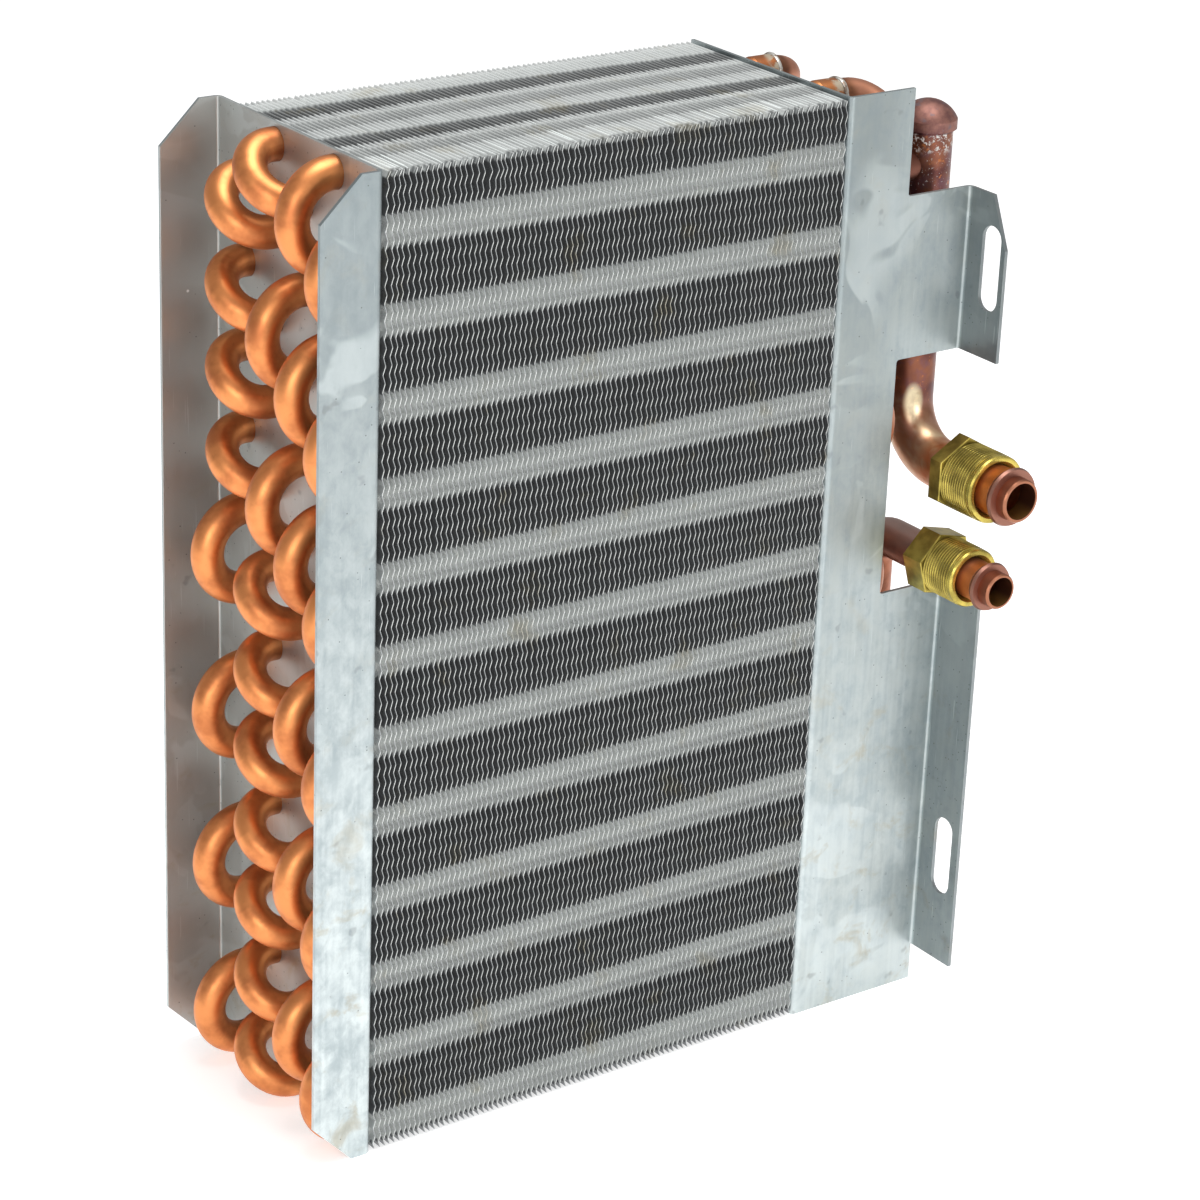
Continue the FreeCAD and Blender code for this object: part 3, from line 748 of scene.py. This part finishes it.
@dataclass(frozen=True)
class LineCopper:
    """Copper of the liquid line: dull brown, with a painted sheen of grey-mauve on top of its run,
    and grey-mauve in part on its upright.
    """

    name: str = "line_copper_dull"
    brown: Colour = rgb(168, 108, 82)
    dark: Colour = rgb(108, 66, 50)
    mauve: Colour = rgb(178, 156, 148)
    end: FormedEnd = FormedEnd(100.6, 153.2, -55.4, -58.6, -62.9, 4.75)

    def build(self) -> Material:
        """The finished material."""
        paint = Paint(self.name, Metallic=0.95)
        cloud = paint.noise(10.0, 4.0, 0.6)
        fine = paint.noise(0.5, 3.0)
        # Painted sheen: grey-mauve on the top of the run, where light falls; the same grey-mauve at
        # half strength on the upright part.
        top = (paint.z - self.end.z).between(-3.0, 4.0) * 0.8
        upright = paint.y.between(-8.0, -5.0) * 0.5
        colour = paint.layers(
            self.brown, (cloud.between(0.35, 0.7), self.dark), (top.most(upright), self.mauve))
        return paint.finish(
            self.end.over(paint, colour), 0.3 + 0.2 * cloud + 0.1 * fine, None, fine, 0.01)


@dataclass(frozen=True)
class CapCopper:
    """Brick-brown cap copper with a grey flux patch on its crown."""

    name: str = "cap_copper"
    brick: Colour = rgb(150, 106, 94)
    dark: Colour = rgb(96, 62, 62)
    grey: Colour = rgb(116, 100, 104)

    def build(self) -> Material:
        """The finished material."""
        paint = Paint(self.name, Metallic=0.7)
        cloud = paint.noise(6.0, 4.0, 0.6)
        fine = paint.noise(0.5, 3.0)
        patch = paint.noise(4.0, 3.0, 0.5, 0.5).between(0.56, 0.66) * 0.8
        colour = paint.layers(
            self.brick, (cloud.between(0.3, 0.7), self.dark), (patch, self.grey))
        return paint.finish(colour, 0.42 + 0.2 * cloud, None, fine * 0.4 + cloud * 0.6, 0.05)


@dataclass(frozen=True)
class NutBrass:
    """Turned brass with fine tool rings, olive clouds, and painted shade in the thread's roots, on
    the hexagon's flats and in the bore.
    """

    name: str = "nut_brass"
    yellow: Colour = rgb(218, 196, 96)
    olive: Colour = rgb(132, 118, 52)
    dark: Colour = rgb(64, 52, 22)

    def build(self) -> Material:
        """The finished material."""
        paint = Paint(self.name, Metallic=0.8)
        cloud = paint.noise(6.0, 3.0)
        fine = paint.noise(0.4)
        rings = paint.noise(0.25, 1.0, scale=(0.02, 1.0, 0.02))
        # Painted shade from each point's value: darker in the thread's roots, on the hexagon and in
        # the bore.
        groove_shade = paint.shade_value()
        colour = paint.layers(
            self.yellow, (cloud.between(0.3, 0.7) * 0.9, self.olive), (groove_shade, self.dark))
        rough = 0.2 + 0.08 * cloud + 0.04 * fine + 0.2 * groove_shade
        return paint.finish(colour, rough, None, rings * 0.6 + fine * 0.4, 0.004)


@dataclass(frozen=True)
class BrazeSilver:
    """Silver braze alloy with a little brown glassy flux."""

    name: str = "braze_alloy"
    silver: Colour = rgb(214, 210, 202)
    flux: Colour = rgb(120, 92, 70)

    def build(self) -> Material:
        """The finished material."""
        paint = Paint(self.name, Metallic=0.85)
        cloud = paint.noise(3.0, 3.0, 0.6)
        fine = paint.noise(0.6)
        colour = paint.layers(self.silver, (cloud.between(0.48, 0.62) * 0.8, self.flux))
        return paint.finish(colour, 0.28 + 0.25 * cloud, None, fine * 0.5 + cloud * 0.5, 0.06)


@dataclass(frozen=True)
class PaleFloor:
    """Plain matt floor, lit evenly out to its far end."""

    name: str = "pale_floor"
    white: Colour = rgb(250, 250, 250)
    shade: Colour = rgb(246, 246, 246)
    own_light: float = 0.5

    def build(self) -> Material:
        """The finished material."""
        paint = Paint(
            self.name, Emission_Color=self.white, Emission_Strength=self.own_light)
        cloud = paint.noise(400.0)
        return paint.finish(paint.layers(self.white, (cloud * 0.1, self.shade)), 0.9)


@dataclass(frozen=True)
class TubeGrid:
    """Where the tubes stand: five staggered rows of twelve.

    The first tube of an odd or even row stands that share of a pitch below the top. The first
    hairpin, whose middle gives the top, takes the first two tubes of an odd row.
    """

    top: float
    fin_top: float
    fin_bottom: float
    cup_mouth: float
    tube_pitch: float = 25.4
    row_pitch: float = 15.875
    rows: int = 5
    per_row: int = 12
    odd_row: float = 0.75
    even_row: float = 0.25
    front: float = -26.0

    @property
    def depth(self) -> float:
        """From the front of the first row to the back of the last."""
        return self.rows * self.row_pitch

    @classmethod
    def from_frame(cls) -> "TubeGrid":
        """The grid's heights and the cups' mouths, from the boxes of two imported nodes."""
        low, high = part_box("hairpin_row_1_tubes_1_2")
        top = (low.z + high.z) / 2 / MM + (cls.odd_row + 0.5) * cls.tube_pitch
        fin_low, fin_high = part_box("fin_pack")
        return cls(top, fin_high.z / MM, fin_low.z / MM, high.x / MM)

    def centres(self) -> np.ndarray:
        """Y and Z of every tube, row by row: odd rows stand half a pitch lower than even ones."""
        row, tube = np.meshgrid(np.arange(self.rows), np.arange(self.per_row), indexing="ij")
        stagger = np.where(row % 2 == 0, self.odd_row, self.even_row)
        y = self.front + (row + 0.5) * self.row_pitch
        z = self.top - (tube + stagger) * self.tube_pitch
        return np.stack([y, z], axis=-1).reshape(-1, 2)


@dataclass(frozen=True)
class Dent:
    """A place on the fins' front where they are pushed sideways."""

    x: float
    z: float
    width: float
    height: float
    push: float


@dataclass
class FinPack:
    """Eighty-nine thin fins with rippled front edges, and the collars that space them."""

    grid: TubeGrid
    count: int = 89
    left: float = -101.4
    right: float = 58.9
    thickness: float = 0.2
    ripple: float = 0.4
    round_share: float = 0.06
    ripple_length: float = 5.08
    first_crest: float = 4.95
    collar_radius: float = 5.25
    collar_sides: int = 24
    stacks: int = 3
    seed: int = 11
    scatter: float = 0.09
    leans: tuple[Pair, ...] = ((150.0, 0.16), (61.0, 0.1), (23.0, 0.06))
    lean_drift: float = 0.5
    corner_push: float = 0.35
    corner_size: Pair = (4.5, 3.0)
    top_wave: float = 0.12
    wave_length: float = 9.0
    wave_step: float = 1.7
    wave_reach: float = 8.0
    dent_depth: float = 12.0
    dents: tuple[Dent, ...] = (
        Dent(-66.0, 300.0, 4.0, 5.0, 1.3),
        Dent(-8.0, 297.0, 3.0, 6.0, -1.1),
        Dent(20.0, 210.0, 5.0, 9.0, 0.5),
        Dent(-50.0, 90.0, 6.0, 12.0, -0.4),
    )

    def surface(self) -> np.ndarray:
        """Points of all fins.

        Across each fin the ripple is a zigzag of the distance below the top, sampled at its
        crests and a little to both sides of each, which rounds them. To this add a slow sideways
        lean made of three sines of z with a phase of their own for each fin, a small turn of the
        top front corner, a small sine of the depth near the top, and the dents, which are bells
        in x and z that fade with depth.

        Returns:
            Points shaped (fins, rings along z, six around, 3).
        """
        rng = np.random.default_rng(self.seed)
        pitch = (self.right - self.left) / self.count
        place = self.left + (np.arange(self.count) + 0.5) * pitch
        place = place + rng.normal(0, self.scatter, self.count)
        top, bottom = self.grid.fin_top, self.grid.fin_bottom
        crest = np.arange(-1, 2 * (top - bottom) / self.ripple_length + 1) * self.ripple_length / 2
        side = self.round_share * self.ripple_length * np.array([-1.0, 0.0, 1.0])
        z = self.grid.top - self.first_crest - (crest[:, None] + side).ravel()
        z = np.concatenate([[bottom], np.sort(z[(z > bottom + 0.2) & (z < top - 0.2)]), [top]])
        y = np.array([0.0, 4.0, self.grid.depth])
        fin, height, back = np.meshgrid(place, z, y, indexing="ij")
        order = np.arange(self.count)[:, None, None]
        turns = (self.grid.top - height - self.first_crest) / self.ripple_length
        away = np.abs(turns - np.round(turns))
        zigzag = 1 - 4 * np.maximum(away, self.round_share / 3)
        zigzag = np.maximum(zigzag, 4 * self.round_share / 3 - 1)
        x = fin + self.ripple * zigzag
        for length, size in self.leans:
            shift = np.cumsum(rng.normal(0, self.lean_drift, self.count))[:, None, None]
            x = x + size * np.sin(2 * math.pi * height / length + shift)
        corner = rng.normal(0, self.corner_push, self.count)[:, None, None]
        deep, tall = self.corner_size
        x = x + corner * rise(height, top - tall, top) * (1 - rise(back, 0.0, deep))
        wave = np.sin(order * self.wave_step + back / self.wave_length)
        x = x + self.top_wave * wave * rise(height, top - self.wave_reach, top)
        for dent in self.dents:
            near = bell(fin - dent.x, dent.width) * bell(height - dent.z, dent.height)
            x = x + dent.push * near * (1 - rise(back, 0.0, self.dent_depth))
        half = self.thickness / 2
        y_row = back + self.grid.front
        low, high = (np.stack([x + side, y_row, height], axis=-1) for side in (-half, half))
        return np.concatenate([low, high[:, :, ::-1]], axis=2)

    def build(self) -> None:
        """Make the fins in stacks, and one piece with all collars."""
        metal = FinMetal(self.grid, self.ripple_length, self.first_crest).build()
        fins = self.surface()
        cuts = np.linspace(0, self.count, self.stacks + 1).astype(int)
        for number, (start, stop) in enumerate(zip(cuts[:-1], cuts[1:]), 1):
            piece = Shell(fins[start:stop]).build(f"fins_{number}", "core", Slot.FINS, 50.0)
            piece.data.materials.append(metal)
            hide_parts("fin_pack")
        self.collars()

    def collars(self) -> None:
        """A thin sleeve round every tube: a circle about the tube's axis, carried along X."""
        turn = even_angles(self.collar_sides)
        circle = np.stack([np.cos(turn), np.sin(turn)], axis=-1) * self.collar_radius
        ends = np.array([self.left + 0.1, self.right - 0.1])
        flat = self.grid.centres()[:, None, None, :] + circle[None, None, :, :]
        flat = np.broadcast_to(flat, (len(flat), 2, len(turn), 2))
        x = np.broadcast_to(ends[None, :, None], flat.shape[:3])
        rings = np.concatenate([x[..., None], flat], axis=-1)
        piece = Shell(rings).build("fin_collars", "core", Slot.FINS)
        piece.data.materials.append(CollarMetal().build())
        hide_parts("fin_pack")


def dress(node: Object, material: Material) -> None:
    """Give a carried-over node its material."""
    if not node.material_slots:
        node.data.materials.append(material)
    for place in node.material_slots:
        place.material = material


@dataclass
class TubeCircuit:
    """Hairpins, return bends and stubs, with a braze ring round each joint."""

    nodes: dict[str, Object]
    grid: TubeGrid
    joint_beyond: float = 0.2
    ring_radius: float = 5.3
    bead_radius: float = 0.62
    around_tube: int = 28
    around_bead: int = 8
    uneven: float = 0.16
    drift: float = 0.2
    stretch: float = 1.3
    seed: int = 5

    def build(self) -> None:
        """Dress the tubes and add the rings."""
        copper = TubeCopper(self.grid.cup_mouth).build()
        for name, node in self.nodes.items():
            if name.startswith(("hairpin", "return_bends", "outlet_stub", "inlet_stub")):
                dress(node, copper)
        rings = Shell(self.rings(), looped=True)
        piece = rings.build("braze_rings", "core", Slot.TUBES)
        piece.data.materials.append(BrazeSilver().build())

    def rings(self) -> np.ndarray:
        """Points of all rings.

        Each is a small circle carried round the tube. Its radius and its distance from the cup's
        mouth wander with two sines of the angle round the tube, with a phase for each tube.

        Returns:
            Points shaped (tubes, around the tube, around the bead, 3).
        """
        centres = self.grid.centres()
        rng = np.random.default_rng(self.seed)
        big = even_angles(self.around_tube)
        small = even_angles(self.around_bead)
        phase = rng.uniform(0, 2 * math.pi, (2, len(centres)))
        tube, turn, bead = np.meshgrid(np.arange(len(centres)), big, small, indexing="ij")
        wander = np.sin(2 * turn + phase[0][tube]) + 0.6 * np.sin(3 * turn + phase[1][tube])
        thick = self.bead_radius * (1 + self.uneven * wander)
        out = self.ring_radius + thick * np.cos(bead)
        middle = self.grid.cup_mouth + self.joint_beyond + self.drift * wander
        x = middle + self.stretch * thick * np.sin(bead)
        y = centres[tube, 0] + out * np.cos(turn)
        z = centres[tube, 1] + out * np.sin(turn)
        return np.stack([x, y, z], axis=-1)


@dataclass(frozen=True)
class NutSize:
    """Sizes of one captive nut; distances run forwards from the upright line's axis."""

    name: str
    x: float
    z: float
    rear: float
    hex_front: float
    front: float
    across: float
    thread_od: float
    turn: float
    bore: float
    pitch: float


@dataclass
class CaptiveNut:
    """A hexagon nut behind a fine male thread with a smooth band at its mouth.

    The band's rings are listed as distance, drop and shade.
    """

    size: NutSize
    around: int = 144
    thread_depth: float = 0.5
    steps: int = 10
    band: float = 2.2
    hex_shade: float = 0.3
    mouth: tuple[Triple, ...] = (
        (0.05, 0.3, 0.6), (0.3, 0.1, 0.0), (0.7, 0.1, 0.0), (0.8, 0.25, 0.7),
        (0.9, 0.1, 0.0), (1.35, 0.1, 0.0), (1.45, 0.22, 0.6), (1.55, 0.1, 0.0))

    def hexagon(self, angle: np.ndarray) -> np.ndarray:
        """Distance from the axis to the side: that to a flat over the cosine of the turn off it."""
        sixth = math.pi / 3
        off = (angle - math.radians(self.size.turn) + sixth / 2) % sixth - sixth / 2
        return self.size.across / 2 / np.cos(off)

    def build(self) -> None:
        """Make the nut.

        A ring of the nut's skin is a circle about its axis whose radius depends on the distance
        forwards and on the angle. On the hexagon it is the distance to the hexagon's side, less
        a little at both faces. On the thread it is the outer radius less a triangle wave of
        distance over pitch minus angle over a full turn, so the ridges wind round as a helix.
        """
        s = self.size
        outer, bore = s.thread_od / 2, s.bore / 2
        angle = math.radians(s.turn) + even_angles(self.around)
        side = self.hexagon(angle)
        level = np.ones(self.around)
        start, stop = s.hex_front + 0.3, s.front - self.band
        rows: list[list[np.ndarray]] = []

        # A ring's third value is painted shade: darker in the thread's roots, on the hexagon's
        # flats and in the bore.
        def ring(distance: float, radius: np.ndarray, groove_shade: np.ndarray | float = 0.0) -> None:
            """Add one ring."""
            rows.append([distance * level, radius * level, groove_shade * level])

        ring(s.rear, bore + 0.5)
        ring(s.rear, side - 0.25, self.hex_shade)
        ring(s.rear + 0.25, side, self.hex_shade)
        ring(s.hex_front - 0.3, side, self.hex_shade)
        ring(s.hex_front, side - 0.3, 0.1)
        ring(s.hex_front, outer - self.thread_depth, 0.8)
        for distance in np.arange(start, stop, s.pitch / self.steps):
            phase = ((distance - start) / s.pitch - angle / (2 * math.pi)) % 1.0
            dip = np.clip(np.abs(2 * phase - 1) * 1.4 - 0.2, 0, 1)
            fade = min(1.0, (stop - distance) / s.pitch)
            ring(distance, outer - self.thread_depth * dip * fade, dip * fade * 0.9)
        for ahead, drop, groove_shade in self.mouth:
            ring(stop + ahead, outer - drop, groove_shade)
        ring(s.front - 0.15, outer - 0.45)
        ring(s.front, outer - 0.9)
        ring(s.front, bore + 1.2)
        ring(s.front - 1.5, bore, 0.5)
        ring((s.front + s.rear) / 2, bore, 0.9)
        ring(s.rear + 0.5, bore, 0.6)
        away, radius, shade = np.array(rows).transpose(1, 0, 2)
        across = s.x + radius * np.cos(angle)
        up = s.z + radius * np.sin(angle)
        points = np.stack([across, LINES_Y - away, up], axis=-1)
        skin = Shell(points[None], looped=True, value=shade[None])
        piece = skin.build(f"{s.name}_threaded", s.name, Slot.NUTS, 32.0)
        piece.data.materials.append(NutBrass().build())
        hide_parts(s.name)


@dataclass
class Lines:
    """The suction header and the liquid line with their caps."""

    nodes: dict[str, Object]

    def build(self) -> None:
        """Dress the two lines and caps."""
        dress(self.nodes["suction_header"], HeatedCopper().build())
        dress(self.nodes["liquid_line"], LineCopper().build())
        cap = CapCopper().build()
        for line in ("suction_header", "liquid_line"):
            dress(self.nodes[f"{line}_cap"], cap)


@dataclass
class EndPlates:
    """The two folded end plates."""

    nodes: dict[str, Object]

    def build(self) -> None:
        """Dress the plates."""
        sheet = Galvanised().build()
        for side in ("left", "right"):
            dress(self.nodes[f"{side}_end_plate"], sheet)


@dataclass(frozen=True)
class SoftBox:
    """A square soft light, placed in metres."""

    name: str
    place: Triple
    size: float
    power: float


@dataclass
class Studio:
    """Pale floor, soft lights and the camera."""

    world_light: float = 0.42
    aim: Triple = (0.0, 0.0, 0.15)
    boxes: tuple[SoftBox, ...] = (
        SoftBox("top_box", (0.1, -0.1, 1.6), 0.9, 15.0),
        SoftBox("front_box", (0.15, -1.9, 0.5), 0.8, 12.0),
        SoftBox("left_box", (-1.3, -1.05, 0.7), 0.75, 9.0),
    )
    sensor: float = 36.0
    lens: float = 108.66
    place: Triple = (-605.19, -820.66, 574.55)
    azimuth: float = 36.16
    elevation: float = 22.66
    roll: float = 2.3
    floor_half: float = 4000.0

    def build(self) -> None:
        """Set up everything round the object."""
        self.floor()
        self.lights()
        self.camera()

    def floor(self) -> None:
        """A level square under the object."""
        reach = self.floor_half * MM
        mesh = bpy.data.meshes.new("studio_floor")
        mesh.from_pydata(
            [(-reach, -reach, 0), (reach, -reach, 0), (reach, reach, 0), (-reach, reach, 0)],
            [], [(0, 1, 2, 3)])
        floor = placed("studio_floor", mesh)
        mesh.materials.append(PaleFloor().build())

    def area(self, box: SoftBox) -> None:
        """One soft light that looks at the core's middle."""
        lamp = bpy.data.lights.new(box.name, "AREA")
        lamp.energy = box.power
        lamp.size = box.size
        holder = placed(box.name, lamp)
        holder.location = box.place
        ahead = Vector(self.aim) - Vector(box.place)
        holder.rotation_euler = ahead.to_track_quat("-Z", "Y").to_euler()

    def lights(self) -> None:
        """A pale world and three soft boxes."""
        world = bpy.data.worlds.new("studio")
        bpy.context.scene.world = world
        world.use_nodes = True
        background = world.node_tree.nodes["Background"]
        background.inputs[0].default_value = (1.0, 1.0, 1.0, 1.0)
        background.inputs[1].default_value = self.world_light
        for box in self.boxes:
            self.area(box)
        bpy.context.scene.view_settings.view_transform = "Standard"

    def camera(self) -> None:
        """The camera at the photograph's angle.

        Its forward direction is level forwards turned by the azimuth and tipped down by the
        elevation; right and up are then turned about it by the roll.
        """
        az, el, roll = (math.radians(a) for a in (self.azimuth, self.elevation, self.roll))
        ahead = Vector((math.sin(az) * math.cos(el), math.cos(az) * math.cos(el), -math.sin(el)))
        right = Vector((math.cos(az), -math.sin(az), 0.0))
        up = right.cross(ahead)
        side = math.cos(roll) * right + math.sin(roll) * up
        over = math.cos(roll) * up - math.sin(roll) * right
        lens = bpy.data.cameras.new("photo_view")
        lens.lens = self.lens
        lens.sensor_width = self.sensor
        holder = placed("photo_view", lens)
        turned = Matrix((side, over, -ahead)).transposed().to_4x4()
        holder.matrix_world = Matrix.Translation(Vector(self.place) * MM) @ turned
        bpy.context.scene.camera = holder


SUCTION_NUT = NutSize(
    "suction_nut", 110.4, 179.4, 25.3, 30.6, 44.7, 22.2, 22.2, 0.0, 16.3, 1.05)
LIQUID_NUT = NutSize(
    "liquid_nut", 100.6, 153.2, 26.3, 35.0, 48.4, 19.05, 19.05, 16.0, 13.1, 1.05)


def main() -> None:
    """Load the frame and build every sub-assembly."""
    logging.basicConfig(level=logging.INFO, format="%(name)s: %(message)s")
    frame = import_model()
    nodes = frame["nodes"]
    Studio().build()
    grid = TubeGrid.from_frame()
    FinPack(grid).build()
    EndPlates(nodes).build()
    TubeCircuit(nodes, grid).build()
    Lines(nodes).build()
    for size in (SUCTION_NUT, LIQUID_NUT):
        CaptiveNut(size).build()


if __name__ == "__main__":
    main()
